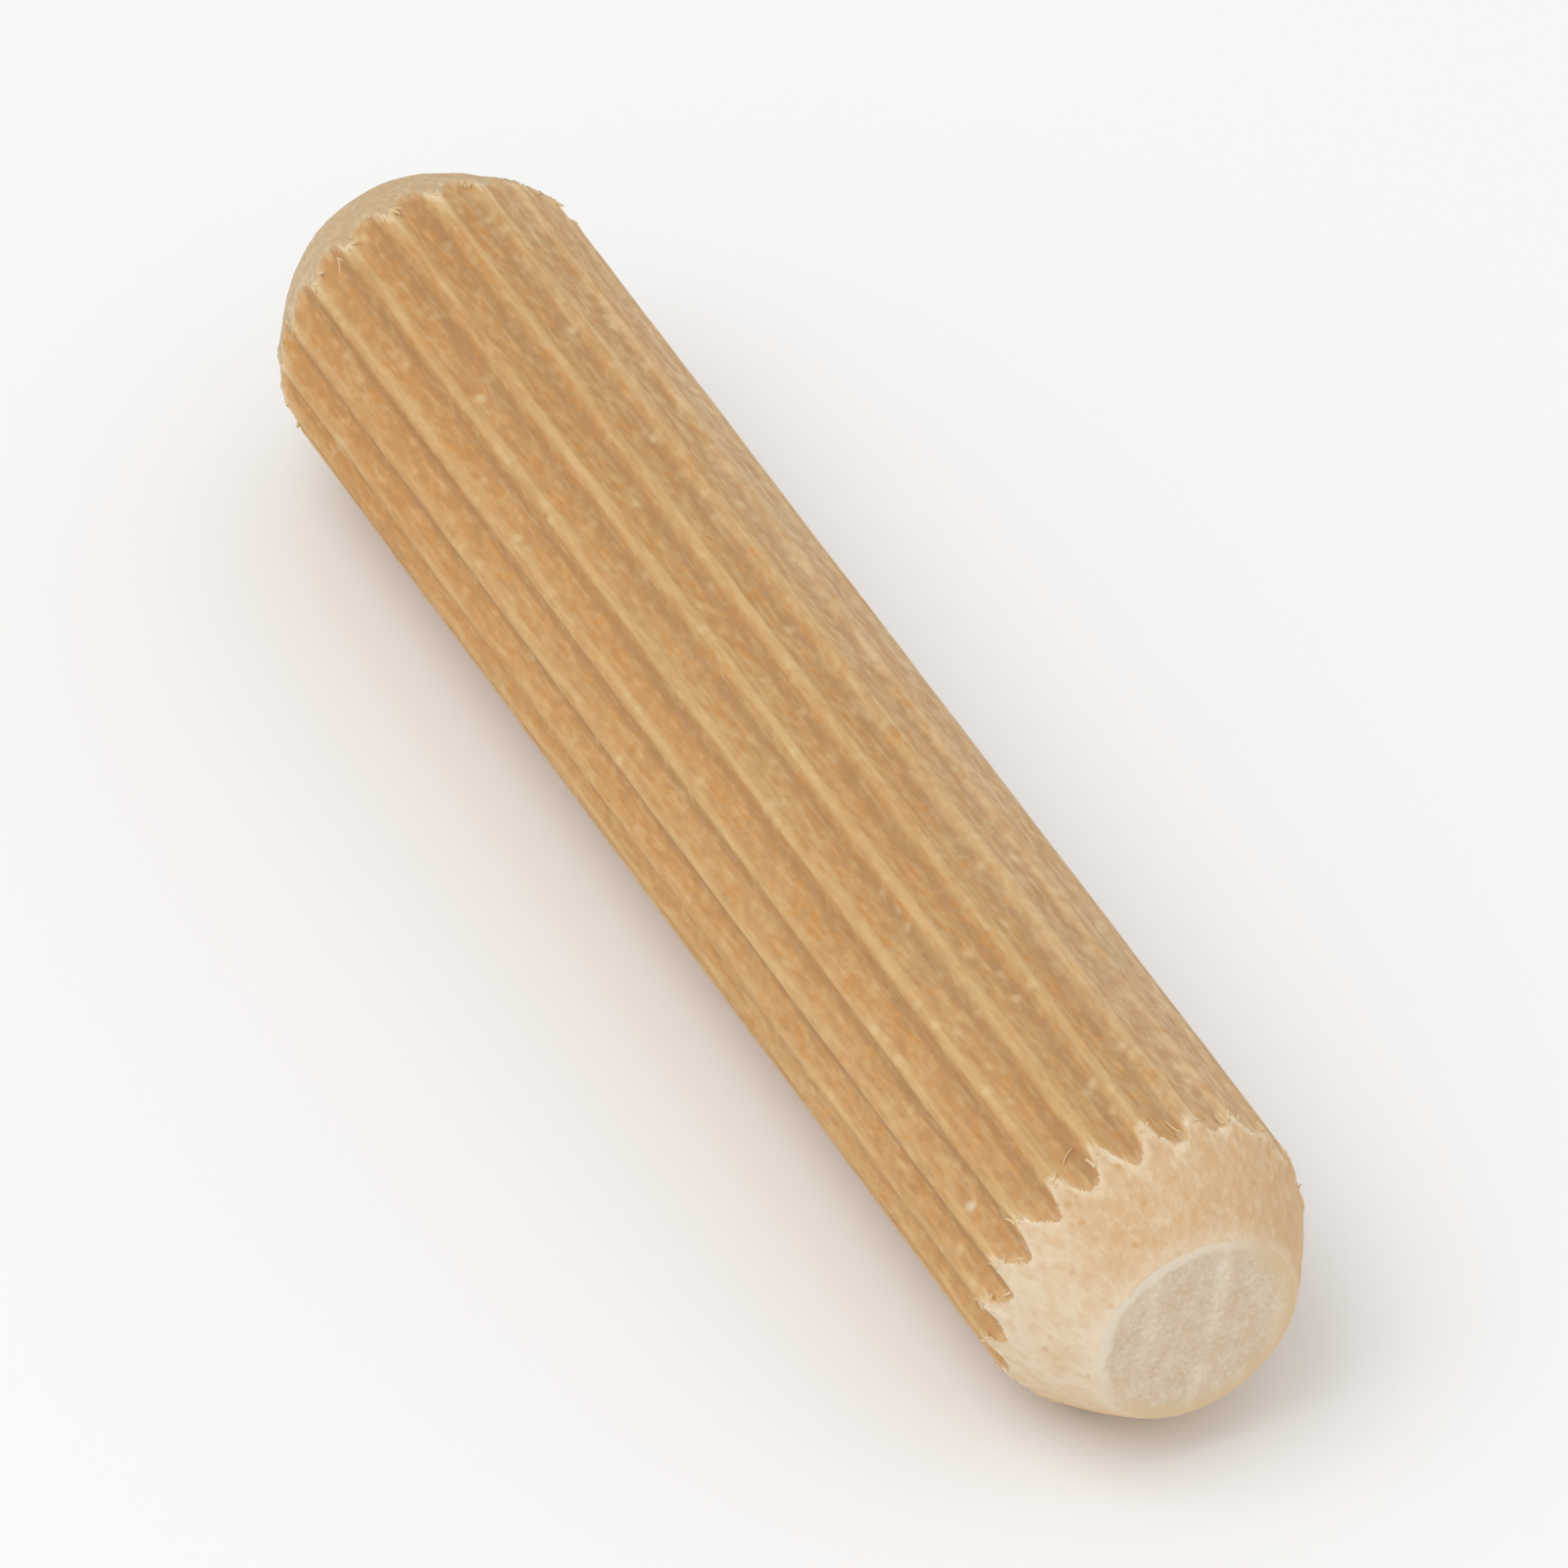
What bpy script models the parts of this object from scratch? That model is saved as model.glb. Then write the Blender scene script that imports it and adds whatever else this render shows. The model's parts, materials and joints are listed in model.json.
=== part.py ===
"""Fluted dowel pin: a chamfered wooden pin with lengthwise flutes, which joins two boards with glue.

The pin lies along X on the plane z = 0, on two neighbouring crests, with its middle over the origin.
"""

import math

import bmesh
import bpy
from mathutils import Vector

MM = 0.001

# Driving dimensions
PIN_LENGTH = 40.0 * MM
PIN_DIAMETER = 8.0 * MM  # over the crests
FLUTE_COUNT = 21
FLUTE_DEPTH = 0.28 * MM  # beside a cutter head
DEEPEST_SHARE = 0.38  # how far across a flute its deepest line lies, as a share of its width
CREST_WIDTH = 0.20 * MM  # the narrow land left between two flutes
END_FACE_DIAMETER = 5.0 * MM
CHAMFER_LENGTH = 2.6 * MM  # from the end face to where the crests begin
CHAMFER_BULGE = 0.11 * MM  # how far the rounded chamfer stands proud of a straight one
END_EDGE_BEVEL = 0.08 * MM

# Two opposed cutter heads cut the flutes, which get shallower towards the parting between the heads
HEAD_ANGLE = math.radians(45.0)  # of the upper head, from the top of the pin towards -Y
FULL_DEPTH_ANGLE = math.radians(40.0)  # so far to either side of a head, flutes have their full depth
PARTING_DEPTH = 0.25  # depth at the parting, as a share of the full depth

# Fineness of the mesh
FLUTE_SIDE_STEPS = 5  # from a crest down to the deepest line
CHAMFER_STEPS = 7
TURNS_PER_FLUTE = 4  # steps of the revolved end shape over one flute
BEVEL_STEPS = 3
SMOOTH_ANGLE = math.radians(25.0)

# Room that the end shape keeps where it cuts nothing, so that no two surfaces coincide
CUT_MARGIN = 0.2 * MM
BAR_OVERHANG = 1.0 * MM

PIN_RADIUS = PIN_DIAMETER / 2
END_FACE_RADIUS = END_FACE_DIAMETER / 2
FLUTE_PITCH = 2 * math.pi / FLUTE_COUNT
CREST_ANGLE = CREST_WIDTH / PIN_RADIUS
AXIS_HEIGHT = PIN_RADIUS * math.cos((FLUTE_PITCH - CREST_ANGLE) / 2)

SIDE_COLOUR = (0.56, 0.34, 0.16, 1.0)
END_COLOUR = (0.68, 0.50, 0.32, 1.0)
WOOD_ROUGHNESS = 0.75


def clear_scene():
    for obj in list(bpy.data.objects):
        bpy.data.objects.remove(obj, do_unlink=True)


def make_wood(name, colour):
    """Bare, matt wood of one colour."""
    material = bpy.data.materials.new(name)
    material.use_nodes = True
    shader = material.node_tree.nodes["Principled BSDF"]
    shader.inputs["Base Color"].default_value = colour
    shader.inputs["Roughness"].default_value = WOOD_ROUGHNESS
    shader.inputs["Metallic"].default_value = 0.0
    material.diffuse_color = colour
    return material


def make_object(name, shape, material):
    """An object with the given bmesh as its mesh, placed with the pin's axis at its resting height."""
    bmesh.ops.recalc_face_normals(shape, faces=shape.faces)
    mesh = bpy.data.meshes.new(name)
    shape.to_mesh(mesh)
    shape.free()
    mesh.materials.append(material)
    mesh.shade_smooth()
    mesh.set_sharp_from_angle(angle=SMOOTH_ANGLE)
    obj = bpy.data.objects.new(name, mesh)
    obj.location = (0.0, 0.0, AXIS_HEIGHT)
    bpy.context.scene.collection.objects.link(obj)
    return obj


def around(angle, radius):
    """The point at this angle about the pin's axis, from the top towards -Y."""
    return Vector((0.0, -radius * math.sin(angle), radius * math.cos(angle)))


def flute_depth(middle):
    """The depth of the flute whose middle is at this angle."""
    from_head = math.acos(abs(math.cos(middle - HEAD_ANGLE)))
    fade = max(0.0, (from_head - FULL_DEPTH_ANGLE) / (math.pi / 2 - FULL_DEPTH_ANGLE))
    smooth_fade = fade**2 * (3 - 2 * fade)
    return FLUTE_DEPTH * (1 - (1 - PARTING_DEPTH) * smooth_fade)


def flute_points(start, width):
    """The section of one flute, from the crest at angle start to the next crest.

    Each side is a parabola that is steepest at the crest and level at the deepest line.
    """
    full_depth = flute_depth(start + width / 2)
    points = []
    for step in range(2 * FLUTE_SIDE_STEPS + 1):
        way = step / FLUTE_SIDE_STEPS - 1
        if way < 0:
            share = DEEPEST_SHARE * (1 + way)
        else:
            share = DEEPEST_SHARE + (1 - DEEPEST_SHARE) * way
        depth = full_depth * (1 - way**2)
        points.append(around(start + share * width, PIN_RADIUS - depth))
    return points


def fluted_section():
    """The pin's whole cross-section, with a flute at the very bottom so that two crests carry it."""
    width = FLUTE_PITCH - CREST_ANGLE
    points = []
    for flute in range(FLUTE_COUNT):
        middle = math.pi + flute * FLUTE_PITCH
        points += flute_points(middle - width / 2, width)
    return points


def make_fluted_bar(material):
    """The bar that the pin is cut from: the fluted section drawn out along X."""
    length = PIN_LENGTH + 2 * BAR_OVERHANG
    shape = bmesh.new()
    back = Vector((-length / 2, 0.0, 0.0))
    section = shape.faces.new([shape.verts.new(point + back) for point in fluted_section()])
    drawn = bmesh.ops.extrude_face_region(shape, geom=[section])
    front = [item for item in drawn["geom"] if isinstance(item, bmesh.types.BMVert)]
    bmesh.ops.translate(shape, verts=front, vec=(length, 0.0, 0.0))
    return make_object("dowel_pin", shape, material)


def chamfer_arc():
    """Points (x, radius) of the rounded chamfer at the +X end, from the end face to the crests.

    It is an arc of a circle, given by its two ends and its bulge. A last point carries on along
    the arc's tangent until it is clear of the crests.
    """
    rise = PIN_RADIUS - END_FACE_RADIUS
    chord = math.hypot(CHAMFER_LENGTH, rise)
    arc_radius = (chord**2 / 4 + CHAMFER_BULGE**2) / (2 * CHAMFER_BULGE)
    half_turn = math.asin(chord / 2 / arc_radius)
    lean = math.atan2(rise, CHAMFER_LENGTH)
    points = []
    x = PIN_LENGTH / 2
    radius = END_FACE_RADIUS
    step_turn = 2 * half_turn / CHAMFER_STEPS
    step_length = 2 * arc_radius * math.sin(step_turn / 2)
    for step in range(CHAMFER_STEPS):
        points.append((x, radius))
        slope = lean + half_turn - (step + 0.5) * step_turn
        x -= step_length * math.cos(slope)
        radius += step_length * math.sin(slope)
    points.append((x, radius))
    last_slope = lean - half_turn
    points.append((x - CUT_MARGIN / math.tan(last_slope), radius + CUT_MARGIN))
    return points


def end_face_rims(shape):
    """The edges round the two flat end faces."""
    rims = []
    for edge in shape.edges:
        flat = all(abs(abs(vert.co.x) - PIN_LENGTH / 2) < CUT_MARGIN / 100 for vert in edge.verts)
        radii = [math.hypot(vert.co.y, vert.co.z) for vert in edge.verts]
        if flat and min(radii) > END_FACE_RADIUS / 2:
            rims.append(edge)
    return rims


def make_end_shaper(material):
    """What the end mill leaves: a revolved shape with both chamfers and both flat end faces."""
    half = [(PIN_LENGTH / 2, 0.0)] + chamfer_arc()
    profile = half + [(-x, radius) for x, radius in reversed(half)]
    turns = FLUTE_COUNT * TURNS_PER_FLUTE
    start = math.pi + math.pi / turns
    shape = bmesh.new()
    line = [shape.verts.new(around(start, radius) + Vector((x, 0.0, 0.0))) for x, radius in profile]
    edges = [shape.edges.new(pair) for pair in zip(line, line[1:])]
    bmesh.ops.spin(
        shape,
        geom=line + edges,
        cent=(0.0, 0.0, 0.0),
        axis=(1.0, 0.0, 0.0),
        angle=2 * math.pi,
        steps=turns,
    )
    bmesh.ops.remove_doubles(shape, verts=shape.verts, dist=CUT_MARGIN / 1000)
    bmesh.ops.bevel(
        shape,
        geom=end_face_rims(shape),
        offset=END_EDGE_BEVEL,
        offset_type="OFFSET",
        segments=BEVEL_STEPS,
        profile=0.5,
        affect="EDGES",
    )
    shaper = make_object("end_shaper", shape, material)
    shaper.hide_render = True
    shaper.display_type = "WIRE"
    return shaper


def make_dowel_pin():
    """The fluted bar, cut to length and chamfered, so that the flutes run out in a scalloped line."""
    side_wood = make_wood("fluted_wood", SIDE_COLOUR)
    end_wood = make_wood("end_grain_wood", END_COLOUR)
    pin = make_fluted_bar(side_wood)
    shaper = make_end_shaper(end_wood)
    ends = pin.modifiers.new("chamfered_ends", "BOOLEAN")
    ends.operation = "INTERSECT"
    ends.solver = "EXACT"
    ends.material_mode = "TRANSFER"
    ends.object = shaper
    return pin


clear_scene()
make_dowel_pin()
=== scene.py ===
import json
import math
import random

import bmesh
import bpy
from bpy.props import FloatProperty, FloatVectorProperty, IntProperty, PointerProperty
from mathutils import Matrix, Vector

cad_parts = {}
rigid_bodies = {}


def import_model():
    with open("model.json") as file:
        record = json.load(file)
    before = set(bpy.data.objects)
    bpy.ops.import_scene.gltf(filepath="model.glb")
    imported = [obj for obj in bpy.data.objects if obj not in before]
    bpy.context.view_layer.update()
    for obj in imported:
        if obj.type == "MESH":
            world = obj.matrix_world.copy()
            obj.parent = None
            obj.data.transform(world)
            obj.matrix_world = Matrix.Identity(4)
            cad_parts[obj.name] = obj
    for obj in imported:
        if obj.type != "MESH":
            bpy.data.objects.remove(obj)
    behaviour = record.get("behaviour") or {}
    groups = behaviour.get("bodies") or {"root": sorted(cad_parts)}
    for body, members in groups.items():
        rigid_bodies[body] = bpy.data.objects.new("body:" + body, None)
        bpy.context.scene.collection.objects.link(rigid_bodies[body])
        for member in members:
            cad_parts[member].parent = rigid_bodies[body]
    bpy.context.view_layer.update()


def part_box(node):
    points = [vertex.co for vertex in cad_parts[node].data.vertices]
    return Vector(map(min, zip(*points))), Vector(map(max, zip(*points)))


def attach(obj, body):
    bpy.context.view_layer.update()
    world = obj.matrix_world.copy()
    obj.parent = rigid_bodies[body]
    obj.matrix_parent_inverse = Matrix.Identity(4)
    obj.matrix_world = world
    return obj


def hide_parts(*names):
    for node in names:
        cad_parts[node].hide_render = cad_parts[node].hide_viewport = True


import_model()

bl_info = {
    "name": "Fluted Dowel Pin",
    "version": (1, 0, 0),
    "blender": (4, 5, 0),
    "location": "3D View > Sidebar > Dowel Pin",
    "description": "Models a fluted wooden dowel pin with frayed fibres, on a plain stage",
    "category": "Object",
}

MM = 0.001
PIN_LOW, PIN_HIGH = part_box("dowel_pin")
PIN_DIAMETER = 8.0 * MM
FLUTE_COUNT = 21
CREST_WIDTH = 0.20 * MM

# The pin rests on the two crests beside its lowest flute
HALF_FLUTE_ANGLE = math.pi / FLUTE_COUNT - CREST_WIDTH / PIN_DIAMETER
AXIS_HEIGHT = PIN_DIAMETER / 2 * math.cos(HALF_FLUTE_ANGLE)
AXIS_POINT = (0.0, 0.0, AXIS_HEIGHT)

# Fineness of the meshes
COLUMNS_PER_FLUTE = 20
ROWS_ALONG = 96
TURNS_PER_FLUTE = 18
CHAMFER_RINGS = 36
RIM_STEPS = 3
END_FACE_RINGS = 14

# Edges that bend less than this are shaded smooth
SMOOTH_ANGLE = math.radians(32.0)

# Room that a cutting shape keeps from what it cuts, so that no two surfaces coincide
CUT_MARGIN = 0.2 * MM
BAR_OVERHANG = 1.0 * MM

# A face counts as a cylinder's end, as flat or as end grain if more than this much of its normal
# points along the pin
CYLINDER_END = 0.5
FLAT_END = 0.9999
END_GRAIN = 0.85

# Places along the pin are the same if they differ by less than this share, and a face of the
# shaper with more corners than this is an end face
SAME_PLACE = 1e-5
MOST_SMALL_CORNERS = 8

# How far the torn band reaches past the run-out of the crests, towards the middle of the pin, and
# past the run-out of the flutes, towards its end
TORN_BEFORE = 0.6 * MM
TORN_BEYOND = 0.2 * MM

# How far from a scalloped edge and from the rim of an end face the wear reaches
WORN_WIDTH = 0.15 * MM
WORN_RIM_WIDTH = 0.16 * MM

# The heart of the tree, from the pin's axis, and the spacing of its growth rings
HEART_Y = -14.0 * MM
HEART_Z = 3.0 * MM
RING_SPACING = 1.7 * MM

# Where the painted shade at the foot of a flute's steep side lies, as a share of the distance
# between two crests
FOOT_SHARE = 0.33

# A white fleck: place along the pin, angle about its axis, distance from it, and radius
FLECK_PLACE = (15.7 * MM, math.radians(64.5), 3.75 * MM)
FLECK_RADIUS = 0.22 * MM

# How deep fibres root in the wood, how far they stand off the crests and stay above the floor
ROOT_DEPTH = 0.01 * MM
STRAND_REACH = 0.10 * MM
FLOOR_CLEARANCE = 0.02 * MM

# The larger curls: place along the pin, then in degrees the angle about its axis, the heading and
# the roll, and a size
CURLS = (
    (17.0 * MM, 28.5, 140.0, 93.0, 0.5),
    (17.6 * MM, -12.5, 215.0, 97.0, 0.5),
    (17.5 * MM, 67.0, 200.0, -95.0, 0.5),
    (17.4 * MM, 85.0, 190.0, -95.0, 0.6),
    (-17.8 * MM, 40.0, 15.0, -95.0, 0.6),
    (-17.8 * MM, 40.0, -15.0, 95.0, 0.6),
)

# How the short fibres, or hairs, scatter: spread of their angle about the run-out of a crest, as a
# share of the distance between two crests, places past it, spread of their heading, and sizes
HAIR_ANGLE_SPREAD = 0.16
HAIR_PLACES = (-0.15 * MM, 0.12 * MM)
HAIR_HEADING_SPREAD = 0.6
HAIR_SIZES = (0.5, 1.3)

# Shape of a loose fibre
HAIR_THICKNESS = 0.06 * MM
CURL_THICKNESS = 0.09 * MM
STRAND_BEND = math.radians(40)
STRAND_TAPER = 2.5  # how much thicker the root is than the tip
STRAND_SPREAD = 1.8  # how much wider than thick
STRAND_SIDES = 6
STRAND_JOINTS = 5

# The stage. The camera's place is where the photograph was taken from, worked out from the pin's
# outline in it
FLOOR_SIZE = 4.0
LAMP_PLACE = (-0.02, -0.26, 0.54)
LAMP_SIZE = 0.5
CAMERA_PLACE = (0.3724, -0.1924, 0.3970)
SENSOR_WIDTH = 36.0
CAMERA_RANGE = (0.01, 10.0)

# Sockets of the Mix node that serve colours
MIX_FACTOR, MIX_UNDER, MIX_OVER, MIX_RESULT = 0, 6, 7, 2


class DowelPinSizes(bpy.types.PropertyGroup):
    """Sizes of the pin, mostly those of its solid model, and of its unevenness and wear."""

    length: FloatProperty(
        name="Length",
        description="Length over both end faces",
        default=PIN_HIGH.x - PIN_LOW.x,
        unit="LENGTH",
    )
    diameter: FloatProperty(
        name="Diameter",
        description="Diameter over the crests",
        default=PIN_DIAMETER,
        unit="LENGTH",
    )
    flute_count: IntProperty(
        name="Flutes",
        description="Number of flutes round the pin",
        default=FLUTE_COUNT,
        min=6,
    )
    flute_depth: FloatProperty(
        name="Flute Depth",
        description="Depth of a flute below the crests, beside a cutter head",
        default=0.28 * MM,
        unit="LENGTH",
    )
    crest_width: FloatProperty(
        name="Crest Width",
        description="Width of the land between two flutes",
        default=CREST_WIDTH,
        unit="LENGTH",
    )
    deepest_share: FloatProperty(
        name="Deepest Share",
        description="How far across a flute its deepest line lies, as a share of its width",
        default=0.38,
        min=0.1,
        max=0.9,
    )
    head_angle: FloatProperty(
        name="Head Angle",
        description="Direction of the upper cutter head, from the top of the pin",
        default=math.radians(45.0),
        unit="ROTATION",
    )
    full_depth_angle: FloatProperty(
        name="Full Depth Angle",
        description="So far to either side of a cutter head, flutes have their full depth",
        default=math.radians(40.0),
        unit="ROTATION",
    )
    parting_depth: FloatProperty(
        name="Parting Depth",
        description="Depth of the flutes between the two heads, as a share of the full depth",
        default=0.25,
        min=0.0,
        max=1.0,
    )
    end_face_diameter: FloatProperty(
        name="End Face Diameter",
        description="Diameter of the flat end faces",
        default=5.0 * MM,
        unit="LENGTH",
    )
    chamfer_length: FloatProperty(
        name="Chamfer Length",
        description="Distance from an end face to where the crests begin",
        default=2.6 * MM,
        unit="LENGTH",
    )
    far_chamfer_share: FloatProperty(
        name="Far Chamfer Share",
        description="Length of the far chamfer, as a share of the near one",
        default=0.89,
        min=0.5,
        max=1.5,
    )
    chamfer_bulge: FloatProperty(
        name="Chamfer Bulge",
        description="How far the rounded chamfer stands proud of a straight one",
        default=0.11 * MM,
        unit="LENGTH",
    )
    rim_bevel: FloatProperty(
        name="Rim Bevel",
        description="Width of the worn edge round an end face",
        default=0.08 * MM,
        unit="LENGTH",
    )
    waviness: FloatProperty(
        name="Waviness",
        description="How far the crests and flutes wander along the pin",
        default=0.05 * MM,
        unit="LENGTH",
    )
    roughness_height: FloatProperty(
        name="Cut Roughness",
        description="Height of the torn grain on the chamfers and end faces",
        default=0.045 * MM,
        unit="LENGTH",
    )
    tear_height: FloatProperty(
        name="Tear Height",
        description="Height of the torn grain where the flutes run out",
        default=0.36 * MM,
        unit="LENGTH",
    )
    edge_wear: IntProperty(
        name="Edge Wear",
        description="How often the scalloped edges are smoothed",
        default=3,
        min=0,
    )
    far_edge_wear: IntProperty(
        name="Far Edge Wear",
        description="How much more often the scalloped edge at the far end is smoothed",
        default=4,
        min=0,
    )
    rim_wear: IntProperty(
        name="Rim Wear",
        description="How often the rims of the end faces are smoothed",
        default=6,
        min=0,
    )


def colour_setting(name, description, default):
    """A colour that the user can change."""
    return FloatVectorProperty(
        name=name, description=description, default=default, subtype="COLOR", min=0.0, max=1.0
    )


class DowelPinColours(bpy.types.PropertyGroup):
    """Colours of the bare wood and of the stage."""

    flute: colour_setting("Flute", "Honey brown of the flutes", (0.575, 0.347, 0.150))
    # Serves both as darker fibres and as painted shade in the hollows and towards the far end
    flute_dark: colour_setting("Dark Fibre", "Darker fibres in the flutes", (0.43, 0.235, 0.092))
    flute_warm: colour_setting("Warm Fleck", "Orange flecks in the flutes", (0.60, 0.29, 0.085))
    flute_pale: colour_setting("Pale Side", "Paler, greyer wood of one side", (0.57, 0.378, 0.206))
    # Painted shade along the feet of the flutes' steep sides, not a wood colour of its own
    groove_shade: colour_setting("Groove", "Greyer wood at the bottom of the flutes", (0.39, 0.22, 0.105))
    # Golden wood along the crests, which also serves as a painted highlight on them
    crest: colour_setting("Crest", "Golden wood along the crests", (0.69, 0.465, 0.215))
    fleck: colour_setting("Fleck", "Pale flecks in the flutes", (0.78, 0.60, 0.34))
    chamfer: colour_setting("Chamfer", "Cream wood of the chamfers", (0.73, 0.54, 0.33))
    # Also serves as painted shade on the upper back side of the chamfers
    chamfer_warm: colour_setting("Warm Chamfer", "Warmer wood of the chamfers", (0.67, 0.42, 0.21))
    # Painted shade over the far chamfer and the far end face, not a wood colour of its own
    chamfer_shade: colour_setting("Grey Chamfer", "Greyer wood of one chamfer", (0.50, 0.36, 0.20))
    fuzz: colour_setting("Fuzz", "Torn fibres", (0.84, 0.68, 0.46))
    end_face: colour_setting("End Face", "Greyer end grain", (0.74, 0.61, 0.455))
    end_shade: colour_setting("End Shade", "Darker patches of the end grain", (0.63, 0.475, 0.32))
    # Also serves as painted light on the lower near side of the chamfers
    end_rim: colour_setting("End Rim", "Pale rim round the end faces", (0.86, 0.76, 0.60))
    floor: colour_setting("Floor", "The floor", (0.94, 0.94, 0.94))


class DowelPinFibres(bpy.types.PropertyGroup):
    """Loose fibres along the scalloped edges."""

    per_crest: IntProperty(
        name="Fibres per Crest",
        description="Number of short fibres where each crest runs out, at each end",
        default=4,
        min=0,
    )
    hair_length: FloatProperty(
        name="Hair Length",
        description="Length of a short fibre",
        default=0.26 * MM,
        unit="LENGTH",
    )
    curl_length: FloatProperty(
        name="Curl Length",
        description="Length of a curled fibre",
        default=1.0 * MM,
        unit="LENGTH",
    )
    seed: IntProperty(
        name="Seed",
        description="Start of the random numbers that scatter the fibres",
        default=4,
    )


class DowelPinStage(bpy.types.PropertyGroup):
    """The camera's lens and the strength of the light."""

    lens: FloatProperty(
        name="Lens",
        description="Focal length of the camera, in millimetres",
        default=580.0,
    )
    world_strength: FloatProperty(
        name="World Strength",
        description="Light from all round",
        default=0.80,
    )
    lamp_power: FloatProperty(
        name="Lamp Power",
        description="Power of the large lamp, in watts",
        default=1.0,
    )


# Geometry of the pin


def angle_of(point):
    """The angle of a point about the pin's axis, from the top towards -Y."""
    return math.atan2(-point.y, point.z - AXIS_HEIGHT)


def radius_of(point):
    """The distance of a point from the pin's axis."""
    return math.hypot(point.y, point.z - AXIS_HEIGHT)


def on_pin(x, angle, radius):
    """The point at this place along the pin, angle and distance from its axis."""
    return Vector((x, -radius * math.sin(angle), AXIS_HEIGHT + radius * math.cos(angle)))


def full_flute_depth(middle, sizes):
    """The depth of the flute whose middle is at this angle, cut by two opposed heads."""
    from_head = math.acos(abs(math.cos(middle - sizes.head_angle)))
    fade = (from_head - sizes.full_depth_angle) / (math.pi / 2 - sizes.full_depth_angle)
    fade = max(0.0, fade)
    smooth_fade = fade**2 * (3 - 2 * fade)
    return sizes.flute_depth * (1 - (1 - sizes.parting_depth) * smooth_fade)


def flute_depth_at(angle, sizes):
    """How far the fluted surface lies below the crests at this angle.

    Each side of a flute is a parabola that is steepest at the crest and level at the deepest line.
    """
    pitch = 2 * math.pi / sizes.flute_count
    crest_angle = sizes.crest_width / (sizes.diameter / 2)
    flute = round((angle - math.pi) / pitch)
    middle = math.pi + flute * pitch
    share = (angle - middle) / (pitch - crest_angle) + 0.5
    if not 0 < share < 1:
        return 0.0
    deepest = sizes.deepest_share
    way = share / deepest - 1 if share < deepest else (share - deepest) / (1 - deepest)
    return full_flute_depth(middle, sizes) * (1 - way**2)


def chamfer_circle(sizes):
    """The centre (x, radius) and the radius of the arc that the chamfer at +X follows."""
    rise = (sizes.diameter - sizes.end_face_diameter) / 2
    chord = math.hypot(sizes.chamfer_length, rise)
    arc_radius = (chord**2 / 4 + sizes.chamfer_bulge**2) / (2 * sizes.chamfer_bulge)
    inward = arc_radius - sizes.chamfer_bulge
    middle_x = sizes.length / 2 - sizes.chamfer_length / 2
    middle_radius = (sizes.diameter + sizes.end_face_diameter) / 4
    centre_x = middle_x - inward * rise / chord
    centre_radius = middle_radius - inward * sizes.chamfer_length / chord
    return centre_x, centre_radius, arc_radius


def chamfer_x(radius, sizes):
    """Where along the pin the chamfer at +X has this radius."""
    centre_x, centre_radius, arc_radius = chamfer_circle(sizes)
    return centre_x + math.sqrt(arc_radius**2 - (radius - centre_radius) ** 2)


def chamfer_share(end, sizes):
    """The length of the chamfer at this end, as a share of the near one's.

    end is any number on the end's side of 0, such as a place along the pin.
    """
    return sizes.far_chamfer_share if end < 0 else 1.0


def run_out_x(end, angle, sizes):
    """How far from the middle the surface of the flutes runs out, at this end and angle."""
    x = chamfer_x(sizes.diameter / 2 - flute_depth_at(angle, sizes), sizes)
    return sizes.length / 2 - (sizes.length / 2 - x) * chamfer_share(end, sizes)


def surface_radius(x, angle, sizes):
    """The distance of the surface from the pin's axis, at this place along the pin and angle."""
    centre_x, centre_radius, arc_radius = chamfer_circle(sizes)
    radius = sizes.diameter / 2 - flute_depth_at(angle, sizes)
    near_x = sizes.length / 2 - (sizes.length / 2 - abs(x)) / chamfer_share(x, sizes)
    if near_x > centre_x:
        chamfer = centre_radius + math.sqrt(arc_radius**2 - (near_x - centre_x) ** 2)
        radius = min(radius, chamfer)
    return radius


# Modelling helpers


def pick_object(obj):
    """Selects this object alone and makes it active."""
    bpy.ops.object.select_all(action="DESELECT")
    obj.select_set(True)
    bpy.context.view_layer.objects.active = obj


def start_editing(obj, kind):
    """Opens the object in edit mode with nothing selected. kind is VERT, EDGE or FACE."""
    pick_object(obj)
    bpy.ops.object.mode_set(mode="EDIT")
    bpy.ops.mesh.select_mode(type=kind)
    bpy.ops.mesh.select_all(action="DESELECT")


def stop_editing():
    """Goes back to object mode."""
    bpy.ops.object.mode_set(mode="OBJECT")


def pick_parts(obj, kind, wanted):
    """Selects the parts for which wanted is true. kind is verts, edges or faces."""
    bpy.ops.mesh.select_all(action="DESELECT")
    shape = bmesh.from_edit_mesh(obj.data)
    for part in getattr(shape, kind):
        if wanted(part):
            part.select_set(True)
    bmesh.update_edit_mesh(obj.data)


def add_cylinder(name, sides, radius, length):
    """A closed cylinder along the pin's axis, with its place in its mesh."""
    bpy.ops.object.select_all(action="DESELECT")
    bpy.ops.mesh.primitive_cylinder_add(
        vertices=sides,
        radius=radius,
        depth=length,
        end_fill_type="NGON",
        location=AXIS_POINT,
        rotation=(0.0, math.pi / 2, 0.0),
    )
    obj = bpy.context.active_object
    obj.name = name
    obj.data.name = name
    bpy.ops.object.transform_apply(location=True, rotation=True, scale=True)
    return obj


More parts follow.
